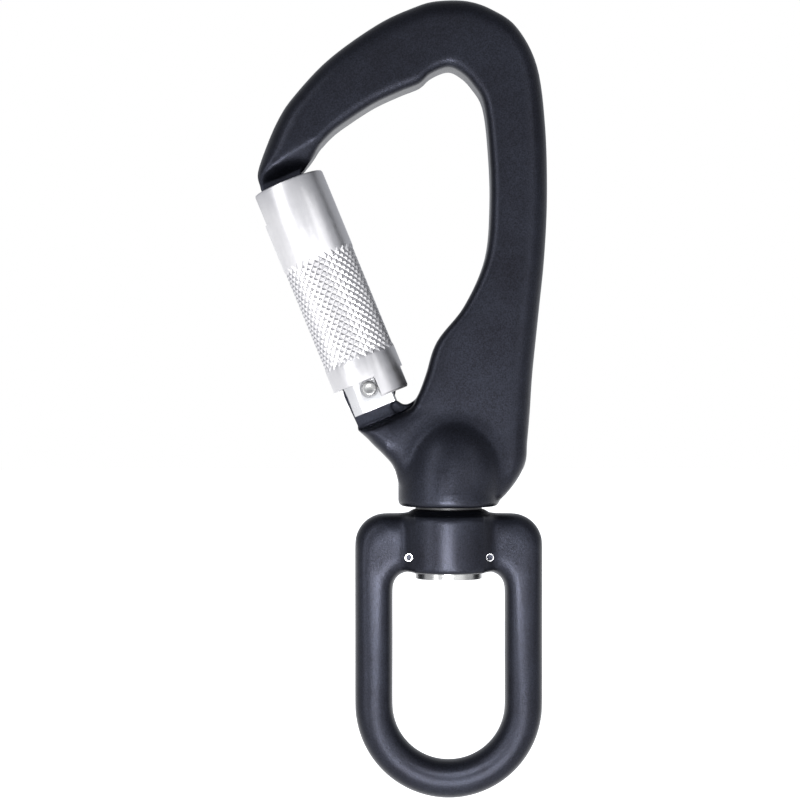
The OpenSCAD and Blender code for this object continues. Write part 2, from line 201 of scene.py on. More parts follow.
def turned_metal(name, low_hex, high_hex, rough, ring_mm,
                 axis_turn=0.0, origin=(0, 0, 0), depth_mm=0.006):
    material, tree = new_material(name)
    place = add_node(tree, "TexCoord")
    turn = add_node(tree, "Mapping", {"vector_type": "TEXTURE"}, {
        "Vector": place.outputs["Object"], "Location": origin, "Rotation": (0, axis_turn, 0)})
    stretch = add_node(tree, "Mapping", {"vector_type": "POINT"}, {
        "Vector": turn.outputs["Vector"], "Scale": (STRETCH, STRETCH, 1)})
    rings = add_node(tree, "TexNoise", inputs={
        "Vector": stretch.outputs["Vector"], "Scale": 1 / (ring_mm * MM),
        "Detail": 2, "Roughness": 0.5})
    clouds = add_node(tree, "TexNoise", inputs={
        "Vector": place.outputs["Object"], "Scale": CLOUDS_PER_M, "Detail": 3, "Roughness": 0.5})
    tone = add_node(tree, "ValToRGB", inputs={"Fac": clouds.outputs["Fac"]})
    tone.color_ramp.elements[0].position = NOISE_LOW
    tone.color_ramp.elements[0].color = colour(low_hex)
    tone.color_ramp.elements[1].position = NOISE_HIGH
    tone.color_ramp.elements[1].color = colour(high_hex)
    dull = add_node(tree, "MapRange", inputs={
        "Value": rings.outputs["Fac"], "From Min": NOISE_LOW, "From Max": NOISE_HIGH,
        "To Min": rough * 0.85, "To Max": rough * 1.15})
    bump = add_node(tree, "Bump", inputs={
        "Height": rings.outputs["Fac"], "Strength": 0.3, "Distance": depth_mm * MM})
    shader = add_node(tree, "BsdfPrincipled", inputs={
        "Base Color": tone.outputs["Color"], "Metallic": 1.0,
        "Roughness": dull.outputs["Result"], "Normal": bump.outputs["Normal"]})
    close_material(tree, shader)
    return material


# %% [markdown]
# ## Plastic and rubber
# Two thin rings aren't metal. The washer between neck and hub is machined from black acetal, a
# slippery plastic whose cut surface is dull with fine tool marks 0.7 mm apart. The cap's seal is
# nitrile rubber, which is duller still, with a skin as fine as 0.4 mm.

# %% Plastic and rubber
MARKS_PER_M = 1500
SKIN_PER_M = 2500


def black_acetal():
    material, tree = new_material("machined_black_acetal")
    place = add_node(tree, "TexCoord")
    marks = add_node(tree, "TexNoise", inputs={
        "Vector": place.outputs["Object"], "Scale": MARKS_PER_M, "Detail": 2})
    dull = add_node(tree, "MapRange", inputs={
        "Value": marks.outputs["Fac"], "From Min": NOISE_LOW, "From Max": NOISE_HIGH,
        "To Min": 0.4, "To Max": 0.55})
    bump = add_node(tree, "Bump", inputs={
        "Height": marks.outputs["Fac"], "Strength": 0.2, "Distance": 0.01 * MM})
    shader = add_node(tree, "BsdfPrincipled", inputs={
        "Base Color": colour("#121213"), "Roughness": dull.outputs["Result"],
        "Normal": bump.outputs["Normal"]})
    close_material(tree, shader)
    return material


def seal_rubber():
    material, tree = new_material("nitrile_rubber")
    place = add_node(tree, "TexCoord")
    skin = add_node(tree, "TexNoise", inputs={
        "Vector": place.outputs["Object"], "Scale": SKIN_PER_M, "Detail": 2})
    bump = add_node(tree, "Bump", inputs={
        "Height": skin.outputs["Fac"], "Strength": 0.2, "Distance": 0.02 * MM})
    shader = add_node(tree, "BsdfPrincipled", inputs={
        "Base Color": colour("#161616"), "Roughness": 0.6, "Normal": bump.outputs["Normal"]})
    close_material(tree, shader)
    return material


# %% [markdown]
# ## One finish for each slot
# The record names a slot for each part. The sleeve's satin clear anodise and the bright steel
# take their rings about the leaning gate. The other metals take them about the swivel's axis.
# Ground, wound and lapped steels differ in tone and in how far they spread a highlight.

# %% Finishes
lean = math.atan2(gate_up.x, gate_up.z)
gate_place = tuple(gate_base * MM)
FINISHES = {
    "black_anodised": black_anodise(),
    "silver_anodised": turned_metal("satin_clear_anodise", "#b6b5b7", "#c0bfc0", 0.36, 0.2,
                                    lean, gate_place, 0.0015),
    "bright_steel": turned_metal("turned_steel", "#b2b2b4", "#bebebf", 0.24, 0.3,
                                 lean, gate_place),
    "pin_steel": turned_metal("ground_steel", "#858585", "#969695", 0.28, 0.4),
    "spring_steel": turned_metal("spring_wire", "#858587", "#99999b", 0.25, 0.5),
    "race_steel": turned_metal("bearing_steel", "#b4b6ba", "#c8cacd", 0.12, 0.5),
    "washer_polymer": black_acetal(),
    "bronze": turned_metal("bearing_bronze", "#a67c45", "#b98f55", 0.3, 0.4),
    "seal_rubber": seal_rubber(),
}
print(len(FINISHES), "materials")

# %% [markdown]
# ## From a bmesh to a piece
# A finished piece is scaled to metres about the origin, takes its material, and rides on the CAD
# body that carries it. Its object stays at the origin, so its mesh alone says where it is.

# %% Finishing helpers
ALWAYS_SMOOTH = 180  # degrees: no edge bends by more than this, so none is shaded as sharp


def raw_object(bm, name):
    mesh = bpy.data.meshes.new(name)
    bmesh.ops.recalc_face_normals(bm, faces=bm.faces)
    bm.to_mesh(mesh)
    bm.free()
    piece = bpy.data.objects.new(name, mesh)
    bpy.context.collection.objects.link(piece)
    return piece


def apply_modifiers(piece):
    graph = bpy.context.evaluated_depsgraph_get()
    finished = bpy.data.meshes.new_from_object(piece.evaluated_get(graph))
    piece.modifiers.clear()
    old = piece.data
    piece.data = finished
    bpy.data.meshes.remove(old)


def carve(piece, cutter, operation="DIFFERENCE"):
    change = piece.modifiers.new(operation, "BOOLEAN")
    change.operation = operation
    change.solver = "EXACT"
    change.object = cutter
    apply_modifiers(piece)
    bpy.data.objects.remove(cutter)


def soften(piece, voxel_mm, smoothing):
    """Rebuilds the surface from voxels and relaxes it, which rounds each edge as blasting does."""
    remesh = piece.modifiers.new("voxels", "REMESH")
    remesh.mode = "VOXEL"
    remesh.voxel_size = voxel_mm
    relax = piece.modifiers.new("relax", "SMOOTH")
    relax.factor = 0.5
    relax.iterations = smoothing
    apply_modifiers(piece)


def relax_where(piece, inside, passes):
    """Relaxes one region into its surroundings, as the large fillets of a forging do."""
    bm = bmesh.new()
    bm.from_mesh(piece.data)
    near = [v for v in bm.verts if inside(v.co)]
    for _ in range(passes):
        bmesh.ops.smooth_vert(bm, verts=near, factor=0.5,
                              use_axis_x=True, use_axis_y=True, use_axis_z=True)
    bm.to_mesh(piece.data)
    bm.free()
    print(piece.name, "relaxed over", len(near), "vertices")


def finish_piece(piece, slot, body, nodes, smooth_angle=ALWAYS_SMOOTH):
    """Gives a piece its finish and its body, and hides the CAD nodes that it stands for."""
    piece.data.transform(Matrix.Scale(MM, 4))
    piece.data.materials.clear()
    piece.data.materials.append(FINISHES[slot])
    for face in piece.data.polygons:
        face.use_smooth = True
    if smooth_angle < ALWAYS_SMOOTH:
        piece.data.set_sharp_from_angle(angle=math.radians(smooth_angle))
    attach(piece, body)
    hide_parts(*nodes)
    print(piece.name, len(piece.data.polygons), "faces")


# %% [markdown]
# ## Shapes that come back
# Bars, plates, turned profiles and flat cuts appear in several pieces, so each has a small
# helper. Some are kept as bodies, and others are cutters for the holes and slots.

# %% Shape helpers
SIDES = 96
LAID_BACK = Matrix.Rotation(math.radians(90), 4, "X")  # turns what is spun about Z to lie along Y


def round_bar(centre, axis, radius, length, sides=SIDES):
    """A cylinder about an axis through its centre."""
    bm = bmesh.new()
    turn = Vector((0, 0, 1)).rotation_difference(Vector(axis)).to_matrix().to_4x4()
    bmesh.ops.create_cone(bm, cap_ends=True, segments=sides, radius1=radius, radius2=radius,
                          depth=length, matrix=Matrix.Translation(centre) @ turn)
    return raw_object(bm, "cutter")


def slice_off(bm, point, normal):
    """Cuts away what lies beyond a plane, and closes the cut."""
    cut = bmesh.ops.bisect_plane(bm, geom=bm.verts[:] + bm.edges[:] + bm.faces[:], plane_co=point,
                                 plane_no=normal, clear_outer=True)["geom_cut"]
    rim = [e for e in cut if isinstance(e, bmesh.types.BMEdge)]
    bmesh.ops.holes_fill(bm, edges=rim, sides=0)


def bevel_sharp(bm, width, segments=3):
    """Rounds every edge that is sharper than 40 degrees."""
    limit = math.radians(40)
    sharp = [e for e in bm.edges if len(e.link_faces) == 2 and e.calc_face_angle() > limit]
    bmesh.ops.bevel(bm, geom=sharp, offset=width, affect="EDGES", segments=segments,
                    profile=0.5, material=-1, clamp_overlap=True)


def lathe(profile, sides):
    """Spins a closed profile of (radius, height) points about Z."""
    bm = bmesh.new()
    verts = [bm.verts.new((r, 0, z)) for r, z in profile]
    edges = [bm.edges.new((a, b)) for a, b in zip(verts, verts[1:] + verts[:1])]
    bmesh.ops.spin(bm, geom=verts + edges, cent=(0, 0, 0), axis=(0, 0, 1), angle=math.tau,
                   steps=sides, use_merge=True, use_duplicate=False)
    bmesh.ops.remove_doubles(bm, verts=bm.verts, dist=1e-4)
    return bm


def plate(outline, thickness, matrix=Matrix.Identity(4)):
    """A flat plate: an (x, z) outline with its thickness centred on Y."""
    bm = bmesh.new()
    face = bm.faces.new([bm.verts.new((x, -thickness / 2, z)) for x, z in outline])
    grown = bmesh.ops.extrude_face_region(bm, geom=[face])
    top = [v for v in grown["geom"] if isinstance(v, bmesh.types.BMVert)]
    bmesh.ops.translate(bm, verts=top, vec=(0, thickness, 0))
    bmesh.ops.transform(bm, matrix=matrix, verts=bm.verts)
    return raw_object(bm, "plate")


# %% [markdown]
# ## A skin over ribs
# Hook and eye are both bars that bend and change their section, so each is drawn as a row of
# ribs. A rib joins a point on the outer edge to one on the inner edge and says how thick the bar
# is there and how round its edges are. A smooth curve fills in between the ribs, each becomes a
# ring of vertices, and bridging the rings closes the skin.

# %% Ribs
def smooth_between(a, b, c, d, t):
    """A point of the smooth curve between b and c, where a and d are their neighbours."""
    return [0.5 * (2 * q + (r - p) * t + (2 * p - 5 * q + 4 * r - s) * t ** 2
                   + (3 * q - p - 3 * r + s) * t ** 3) for p, q, r, s in zip(a, b, c, d)]


def fill_in(ribs, steps):
    """Adds ribs between the drawn ones, so that the bar bends smoothly."""
    last = len(ribs) - 1
    filled = []
    for i in range(last):
        four = (ribs[max(i - 1, 0)], ribs[i], ribs[i + 1], ribs[min(i + 2, last)])
        filled += [smooth_between(*four, k / steps) for k in range(steps)]
    return filled + [ribs[last]]


def rib_ring(bm, rib, corner_steps):
    """The ring of one rib: a rectangle with rounded corners, across the bar."""
    ox, oz, ix, iz, half, outer_round, inner_round = rib
    inner = Vector((ix, 0, iz))
    along = Vector((ox, 0, oz)) - inner
    width = along.length
    along.normalize()
    corners = ((width - outer_round, half - outer_round, outer_round, 0),
               (inner_round, half - inner_round, inner_round, 90),
               (inner_round, inner_round - half, inner_round, 180),
               (width - outer_round, outer_round - half, outer_round, 270))
    verts = []
    for a, b, radius, start in corners:
        for k in range(corner_steps + 1):
            angle = math.radians(start + 90 * k / corner_steps)
            point = inner + along * (a + radius * math.cos(angle))
            verts.append(bm.verts.new(point + Vector((0, b + radius * math.sin(angle), 0))))
    return [bm.edges.new((a, b)) for a, b in zip(verts, verts[1:] + verts[:1])]


def rib_skin(ribs, corner_steps=8):
    """Joins the rings of a row of ribs into a closed skin."""
    bm = bmesh.new()
    rings = [rib_ring(bm, rib, corner_steps) for rib in ribs]
    for ring, following in zip(rings, rings[1:]):
        bmesh.ops.bridge_loops(bm, edges=ring + following)
    bmesh.ops.holes_fill(bm, edges=rings[0] + rings[-1], sides=0)
    return bm


# %% [markdown]
# ## The hook
# The hook is a hot forging with a round neck. It is thickest at its spine, its outer edge is
# rounded much more than its inner one, and the neck swells out of the flat web as a dome. Below
# the gate the web is milled down to a thin tongue for the hinge, and the nose is milled to a
# tongue that the sleeve closes round.

# %% Hook sizes
HALF = 5.8  # half the bar's thickness
OUTER_ROUND, INNER_ROUND = 5.0, 2.3
NECK_R = hook_high.y
SLEEVE_TOP = 48.5
NOSE_LEFT, NOSE_RIGHT = -5.9, 3.6
NOSE_T, TONGUE_T, TONGUE_R, THROAT_T = 4.8, 4.4, 5.8, 3.2
RELIEF_R, LEDGE = 9.3, 7.6  # how far the milling clears round the hinge, and down below it
HINGE_HOLE_R = 1.8  # 0.2 wider than the pin, so that the two stay apart as the gate swings
SHAFT_HOLE_R, SHAFT_HOLE_DEPTH = 4.0, 14
DOME_X, DOME_RADII = 1.2, (11.6, 10.8, 12.6)


def hook_rib(outer, inner, half=HALF, outer_round=OUTER_ROUND, inner_round=INNER_ROUND):
    """A rib between two (x, z) points, with the bar's usual thickness unless another is given."""
    return [*outer, *inner, half, outer_round, inner_round]


HOOK_RIBS = [
    hook_rib(at_gate(NOSE_LEFT + 0.15, SLEEVE_TOP + 1.6),
             at_gate(NOSE_RIGHT + 0.8, SLEEVE_TOP + 1.1), HALF - 0.5, 3, 1.6),
    hook_rib(at_gate(NOSE_LEFT + 0.7, SLEEVE_TOP + 4.4),
             at_gate(NOSE_RIGHT + 4.0, SLEEVE_TOP + 3.1), HALF - 0.1, 4.2),
    hook_rib((-40.3, -17.7), (-28.3, -17.2)),
    hook_rib((-37.6, -11.4), (-25.6, -14.3)),
    hook_rib((-34.2, -6.2), (-22.3, -11.8)),
    hook_rib((-26.4, 2.1), (-16.4, -8.0)),
    hook_rib((-15.6, 9.8), (-10.6, -5.3)),
    hook_rib((-7.4, 13.6), (-6.4, -3.6)),
    hook_rib((-2.6, 14.9), (-4.0, -1.5)),
    hook_rib((4.0, 14.9), (-0.2, 0.0)),
    hook_rib((9.6, 13.0), (2.6, -1.2)),
    hook_rib((15.0, 9.1), (5.0, -3.6)),
    hook_rib((19.4, 0.6), (7.5, -8.0)),
    hook_rib((21.2, -12.7), (8.7, -17.5)),
    hook_rib((21.6, -28.0), (9.1, -29.5)),
    hook_rib((21.0, -41.0), (8.0, -41.5)),
    hook_rib((19.9, -52.0), (3.4, -52.0)),
    hook_rib((18.9, -61.5), (-2.6, -59.8)),
    hook_rib((18.4, -66.5), (-5.0, -67.0)),
    hook_rib((18.1, -70.5), (-6.9, -71.8)),
    hook_rib((17.9, -74.0), (-9.6, -75.0)),
    hook_rib((17.6, -78.0), (-20.7, -77.0), HALF, 5, 3.4),
    hook_rib((17.2, -82.0), (-17.4, -81.5), HALF, 4.5, 4),
    hook_rib((16.9, -86.0), (-14.4, -84.5), HALF, 4.5, 4),
    hook_rib((15.3, -89.6), (-12.2, -87.1), HALF, 4.5, 4),
    hook_rib((12.6, -93.2), (-11.1, -90.6), HALF, 4.5, 4),
    hook_rib((10.0, -95.6), (-10.0, -95.6), HALF, 4.5, 4),
]
print(len(HOOK_RIBS), "ribs in the hook")

# %% [markdown]
# ## The hook's milled places
# A forging can't have thin flat tongues or crisp steps, so a milling cutter makes them after it.
# Here flat plates and a disc are joined on for the tongues, and cutters with sloping or round
# faces take away what the milling would. The neck is turned, so it is spun, and a stretched ball
# swells out of the web above it.

# %% The hook's milled tongues
def hook_tongues():
    """Hinge tongue below the gate, and nose tongue above it, in the gate's own frame."""
    hinge_disc = round_bar(hinge, (0, 1, 0), TONGUE_R, TONGUE_T)
    web_right = RELIEF_R * 0.44
    web = [(-TONGUE_R, 0), (0.4 - TONGUE_R, -LEDGE), (2.9 - TONGUE_R, -12), (web_right + 2, -12),
           (web_right, -RELIEF_R), (0.4 * TONGUE_R, -0.85 * TONGUE_R), (0, 0)]
    hinge_web = plate([(x + pin_across, z) for x, z in web], TONGUE_T, TO_GATE)
    bowl = [(0, 0.3 - TONGUE_R), (4.6, -4.6), (5.1, -5.5), (5.6, -6.05), (6.4, -6.35),
            (7.4, -6.3), (8.6, -5.95), (8.6, -8.6), (0, -8.6)]
    throat = plate([(x + pin_across, z) for x, z in bowl], THROAT_T, TO_GATE)
    nose_low, nose_high, lead = 43.0, SLEEVE_TOP + 5.5, 0.8
    nose = [(NOSE_LEFT, nose_low + lead), (NOSE_LEFT + lead, nose_low),
            (NOSE_RIGHT - lead, nose_low),
            (NOSE_RIGHT, nose_low + lead), (NOSE_RIGHT, nose_high), (NOSE_LEFT + 2.6, nose_high),
            (NOSE_LEFT + 0.5, SLEEVE_TOP + 3.2), (NOSE_LEFT, SLEEVE_TOP + 1)]
    return [hinge_disc, hinge_web, throat, plate(nose, NOSE_T, TO_GATE)]


def slope_cut(near_edge, far_edge, start, stop):
    """A cutter that runs across the gate, from one outline of (y, height) points to another."""
    bm = bmesh.new()
    loops = []
    for edge, across in ((near_edge, start), (far_edge, stop)):
        verts = [bm.verts.new((across, y, height)) for y, height in edge]
        loops += [bm.edges.new((a, b)) for a, b in zip(verts, verts[1:] + verts[:1])]
    bmesh.ops.bridge_loops(bm, edges=loops)
    bmesh.ops.holes_fill(bm, edges=loops, sides=0)
    bmesh.ops.transform(bm, matrix=TO_GATE, verts=bm.verts)
    return raw_object(bm, "cutter")


def shoulder_cut(side):
    """Slopes one face of the nose down to its tongue."""
    low, out = NOSE_T / 2, HALF + 0.4
    start, below = 50.2, 44
    near = [(side * low, start), (side * out, 52.3), (side * (out + 3), below), (side * low, below)]
    far = [(side * low, start), (side * out, 55.7), (side * (out + 3), below), (side * low, below)]
    return slope_cut(near, far, -9, 14)


def ledge_cut(side):
    """Slopes the ledge under the hinge down to the tongue."""
    edge = [(side * 3.6, -LEDGE), (side * 6.6, -LEDGE - 1.6),
            (side * 9, -LEDGE + 2), (side * 3.6, -LEDGE + 2)]
    return slope_cut(edge, edge, -12, 6.5)


def neck_and_dome():
    """The round neck, and the ball that swells out of the flat web above it."""
    foot, ball_z = hook_low.z, hook_low.z + 8
    neck = lathe([(0, foot), (NECK_R - 1, foot), (NECK_R - 0.3, foot + 0.3), (NECK_R, foot + 1),
                  (NECK_R, foot + 5), (NECK_R - 0.3, ball_z + 0.5), (NECK_R - 2.5, ball_z + 4),
                  (0, ball_z + 4)], SIDES)
    ball = bmesh.new()
    swell = Matrix.Translation((DOME_X, 0, ball_z)) @ Matrix.Diagonal((*DOME_RADII, 1))
    bmesh.ops.create_uvsphere(ball, u_segments=SIDES, v_segments=SIDES // 2, radius=1, matrix=swell)
    slice_off(ball, (0, 0, foot + 1.5), (0, 0, -1))
    return [raw_object(neck, "neck"), raw_object(ball, "ball")]


def hinge_relief():
    """A round cutter about the hinge, flat at the ledge, that frees the turning sleeve."""
    bm = bmesh.new()
    turn = Matrix.Translation((pin_across, 0, 0)) @ LAID_BACK
    bmesh.ops.create_cone(bm, cap_ends=True, segments=128, radius1=RELIEF_R, radius2=RELIEF_R,
                          depth=30, matrix=turn)
    slice_off(bm, (0, 0, -LEDGE), (0, 0, -1))
    bmesh.ops.transform(bm, matrix=TO_GATE, verts=bm.verts)
    return raw_object(bm, "cutter")


# %% [markdown]
# ## Putting the hook together
# The skin is cut, joined and drilled with exact booleans. A voxel remesh then turns it into one
# even surface, so that a little smoothing rounds every edge alike, as blasting does. The nose and
# the dome run into the bar with much larger fillets, so those two regions are relaxed for longer.
# The voxels are as small as they can be with the hook under 200,000 triangles.

# %% Making the hook
HOOK_VOXEL, HOOK_SMOOTHING = 0.36, 5
NOSE_PASSES, DOME_PASSES = 24, 60
nose_across, nose_up = at_gate(2, 54)
nose = Vector((nose_across, 0, nose_up))


def at_nose(co):
    return abs(co.y) > 2.6 and (co - nose).length < 9


def at_dome(co):
    return 3 < co.z - hook_low.z < 22 and abs(co.y) > 3.5 and abs(co.x) < 13.5


def make_hook():
    hook = raw_object(rib_skin(fill_in(HOOK_RIBS, 6)), "hook_forging")
    for side in (-1, 1):
        carve(hook, shoulder_cut(side))
        carve(hook, ledge_cut(side))
    carve(hook, hinge_relief())
    for extra in neck_and_dome() + hook_tongues():
        carve(hook, extra, "UNION")
    carve(hook, round_bar(hinge, (0, 1, 0), HINGE_HOLE_R, 20))
    carve(hook, round_bar((0, 0, hook_low.z), (0, 0, 1), SHAFT_HOLE_R, 2 * SHAFT_HOLE_DEPTH))
    soften(hook, HOOK_VOXEL, HOOK_SMOOTHING)
    relax_where(hook, at_nose, NOSE_PASSES)
    relax_where(hook, at_dome, DOME_PASSES)
    finish_piece(hook, "black_anodised", "hook", ["hook_body"])


make_hook()

# %% [markdown]
# ## The eye
# The eye is forged like the hook. Its bar is the same all round, its shoulders are thicker, and
# the round hub for the bearing stands in the middle of its top.

# %% Eye
EYE_HALF, BAR_WIDTH = 4.7, 8.3
CORNER_OUT, CORNER_IN = 6.7, 3.6
BAR_ROUNDS = (4, 3.9)
HUB_H = 12.7
CAP_DEPTH, BUSH_HOLE_R = 10.3, 5.05
# The second number is how deep the dark plug sits in each roll pin's bore; the plug is painted
# shade for the hollow inside the pin.
PIN_BORE, SHADE_PLUG_RECESS, PIN_SIDES = 0.66, 0.9, 40
EYE_VOXEL, EYE_SMOOTHING, EYE_PASSES = 0.3, 5, 45
eye_top = eye_high.z - 1.0
pins_low, pins_high = size_box("roll_pins")
roll_r = (pins_high.z - pins_low.z) / 2
pin_x, pin_z, pin_half = pins_high.x - roll_r, pins_low.z + roll_r, pins_high.y
print("roll pins at", round(pin_x, 2), round(pin_z, 2), "half length", round(pin_half, 2))


def eye_ribs():
    """Ribs from the hub round one shoulder to the bow, and then the same ones mirrored."""
    outer_w = eye_high.x
    inner_w = outer_w - BAR_WIDTH
    bow_z = eye_low.z + outer_w
    out_c = Vector((outer_w - CORNER_OUT, eye_top - CORNER_OUT))
    in_c = Vector((inner_w - CORNER_IN, eye_top - HUB_H - CORNER_IN))
    side = [[2, eye_top, 2, eye_top - HUB_H, EYE_HALF + 1.1, *BAR_ROUNDS]]
    for i in range(7):
        a = math.radians(90 - 15 * i)
        turn = Vector((math.cos(a), math.sin(a)))
        side.append([*(out_c + CORNER_OUT * turn), *(in_c + CORNER_IN * turn),
                     EYE_HALF + 0.9 - 0.15 * i, *BAR_ROUNDS])
    for f in (0.3, 0.65):
        side.append([outer_w, out_c.y + (bow_z - out_c.y) * f,
                     inner_w, in_c.y + (bow_z - in_c.y) * f, EYE_HALF, *BAR_ROUNDS])
    for i in range(13):
        a = math.radians(-7.5 * i)
        turn = Vector((math.cos(a), math.sin(a)))
        centre = Vector((0, bow_z))
        side.append([*(centre + outer_w * turn), *(centre + inner_w * turn),
                     EYE_HALF, *BAR_ROUNDS])
    other = [[-r[0], r[1], -r[2], *r[3:]] for r in side[-2::-1]]
    return side + other


# %% [markdown]
# ## Putting the eye together
# The hub is turned, so it is spun and joined to the bar, and then bored for the cap from below
# and for the bush from above. After the remesh the whole bar is relaxed, because a forging has no
# edge where a curve starts. The pins' holes come last, so that their rims stay crisp.

# %% Making the eye
hub_low = eye_top - HUB_H


def on_bar(co):
    return (abs(co.x) > 7.5 and co.z < eye_top + 0.2) or co.z < hub_low - 1


def make_eye():
    eye = raw_object(rib_skin(fill_in(eye_ribs(), 3)), "eye_forging")
    hub = [(0, hub_low), (NECK_R - 1, hub_low), (NECK_R - 0.3, hub_low + 0.3),
           (NECK_R, hub_low + 1), (NECK_R, eye_top - 1.2), (NECK_R - 0.5, eye_top - 0.35),
           (9.3, eye_top), (8.2, eye_top + 0.7), (7.5, eye_top + 1), (0, eye_top + 1)]
    carve(eye, raw_object(lathe(hub, SIDES), "hub"), "UNION")
    carve(eye, round_bar((0, 0, hub_low), (0, 0, 1), cap_r, 2 * CAP_DEPTH))
    carve(eye, round_bar((0, 0, eye_top), (0, 0, 1), BUSH_HOLE_R, 12))
    soften(eye, EYE_VOXEL, EYE_SMOOTHING)
    relax_where(eye, on_bar, EYE_PASSES)
    for side in (-1, 1):
        hole = (side * pin_x, 0, pin_z)
        carve(eye, round_bar(hole, (0, 1, 0), roll_r, 30, PIN_SIDES))
        # A plug of the eye's black, sunk in each pin's bore, is painted shade: it stands in for the
        # shadow inside the hollow pin.
        painted_shade_plug = round_bar(hole, (0, 1, 0), PIN_BORE - 0.02, 2 * (pin_half - SHADE_PLUG_RECESS),
                            PIN_SIDES)
        carve(eye, painted_shade_plug, "UNION")
    finish_piece(eye, "black_anodised", "eye", ["swivel_eye"], smooth_angle=35)


make_eye()

# %% [markdown]
# ## The roll pins
# Two pins lock the bearing's cap in the hub. Each is a strip of spring steel rolled into a tube, so
# its end shows as a small bright ring round a dark hole. It is spun from the tube's wall. The
# dark plug in its bore is painted shade for the hollow inside the tube, and is part of the eye
# above.

# %% Roll pins
def make_roll_pins():
    lead = 0.12
    wall = [(PIN_BORE, -pin_half), (PIN_BORE, pin_half), (roll_r - lead, pin_half),
            (roll_r - 0.02, pin_half - lead), (roll_r - 0.02, lead - pin_half),
            (roll_r - lead, -pin_half)]
    both = bmesh.new()
    for side in (-1, 1):
        bm = lathe(wall, PIN_SIDES)
        place = Matrix.Translation((side * pin_x, 0, pin_z)) @ LAID_BACK
        bmesh.ops.transform(bm, matrix=place, verts=bm.verts)
        mesh = bpy.data.meshes.new("one_pin")
        bm.to_mesh(mesh)
        bm.free()
        both.from_mesh(mesh)
        bpy.data.meshes.remove(mesh)
    finish_piece(raw_object(both, "roll_pin_pair"), "spring_steel", "eye", ["roll_pins"],
                 smooth_angle=30)


make_roll_pins()

# %% [markdown]
# ## The locking sleeve
# The sleeve is a turned tube with a diamond knurl pressed into its middle. A knurl is two sets of
# crossing grooves. A grid is wrapped round the axis, every other corner is sunk to where two
# grooves cross, and each cell is split along its groove. A bevel at the high corners leaves flat
# diamonds, because a tool that cuts aluminium doesn't bring them to a point.

# %% Sleeve sizes
SLEEVE_R, WALL = 8.1, 1.2
BORE_R = SLEEVE_R - WALL
SLEEVE_FOOT = -2.65
SLEEVE_TURN = twist["range_deg"][1]
KNURL_LOW, KNURL_TOP = 6.6, 31.1
KNURL_ROUND, KNURL_ROWS = 60, 28  # cells of the grid, round the sleeve and along it
KNURL_DEPTH, KNURL_FLAT = 0.42, 0.34
SKIRTS = ((-79, -20), (100, 249 - SLEEVE_TURN))  # degrees round the axis, open at rest
SKIRT_BASE, SKIRT_RISE = -5, 7
NOSE_SLOT_LOW = 41.6


# %% The knurled band
def knurled_band():
    bm = bmesh.new()
    bmesh.ops.create_grid(bm, x_segments=KNURL_ROUND, y_segments=KNURL_ROWS, size=0.5)
    sharp = []
    for vert in bm.verts:
        i = round((vert.co.x + 0.5) * KNURL_ROUND)
        j = round((vert.co.y + 0.5) * KNURL_ROWS)
        angle = math.tau * i / KNURL_ROUND
        edge = j in (0, KNURL_ROWS)
        peak = (i + j) % 2 == 0 or edge
        radius = SLEEVE_R - (0 if peak else KNURL_DEPTH)
        vert.co = (radius * math.cos(angle), radius * math.sin(angle),
                   KNURL_LOW + (KNURL_TOP - KNURL_LOW) * j / KNURL_ROWS)
        vert.tag = (i + j) % 2 == 1
        if peak and not edge:
            sharp.append(vert)
    for face in list(bm.faces):
        low = [v for v in face.verts if v.tag]
        bmesh.utils.face_split(face, low[0], low[1])
    bmesh.ops.remove_doubles(bm, verts=bm.verts, dist=1e-3)
    sharp = [v for v in sharp if v.is_valid]
    bmesh.ops.bevel(bm, geom=sharp, offset=KNURL_FLAT, affect="VERTICES", segments=1,
                    profile=0.5, material=-1)
    return bm


# %% [markdown]
# ## The sleeve's plain ends, skirts and slot
# Each rim of the knurled band is extruded again and again: along the plain end, round its lip and
# into the bore. Bridging the two last rings makes the bore, so the tube is closed. Wedges then
# clear its foot but for two skirts, which stop on the hinge pin, and a slot lets the nose in.

# %% Plain ends
def grow_ends(bm):
    half_way = (KNURL_LOW + KNURL_TOP) / 2
    rims = {True: [], False: []}
    for edge in bm.edges:
        if edge.is_boundary:
            rims[edge.verts[0].co.z > half_way].append(edge)
    upper_end = [(SLEEVE_R, SLEEVE_TOP - 0.5), (SLEEVE_R - 0.15, SLEEVE_TOP - 0.15),
                 (SLEEVE_R - 0.5, SLEEVE_TOP), (BORE_R + 0.2, SLEEVE_TOP),
                 (BORE_R, SLEEVE_TOP - 0.2)]
    lower_end = [(SLEEVE_R, SLEEVE_FOOT + 0.4), (SLEEVE_R - 0.3, SLEEVE_FOOT),
                 (BORE_R + 0.2, SLEEVE_FOOT), (BORE_R, SLEEVE_FOOT + 0.2)]
    ends = []
    for edges, stations in ((rims[True], upper_end), (rims[False], lower_end)):
        for radius, height in stations:
            grown = bmesh.ops.extrude_edge_only(bm, edges=edges)["geom"]
            edges = [e for e in grown if isinstance(e, bmesh.types.BMEdge)]
            for vert in (v for v in grown if isinstance(v, bmesh.types.BMVert)):
                flat = Vector((vert.co.x, vert.co.y)).normalized() * radius
                vert.co = (flat.x, flat.y, height)
        ends += edges
    bmesh.ops.bridge_loops(bm, edges=ends)


# %% Skirts and slot
def skirt_gap(start, stop):
    """A wedge between two angles, which clears the sleeve's foot there."""
    reach, parts = 14, 8
    sweep = [math.radians(start + (stop - start) * k / parts) for k in range(parts + 1)]
    bm = bmesh.new()
    fan = [bm.verts.new((0, 0, SKIRT_BASE))]
    fan += [bm.verts.new((reach * math.cos(a), reach * math.sin(a), SKIRT_BASE)) for a in sweep]
    grown = bmesh.ops.extrude_face_region(bm, geom=[bm.faces.new(fan)])["geom"]
    bmesh.ops.translate(bm, verts=[v for v in grown if isinstance(v, bmesh.types.BMVert)],
                        vec=(0, 0, SKIRT_RISE))
    return raw_object(bm, "cutter")


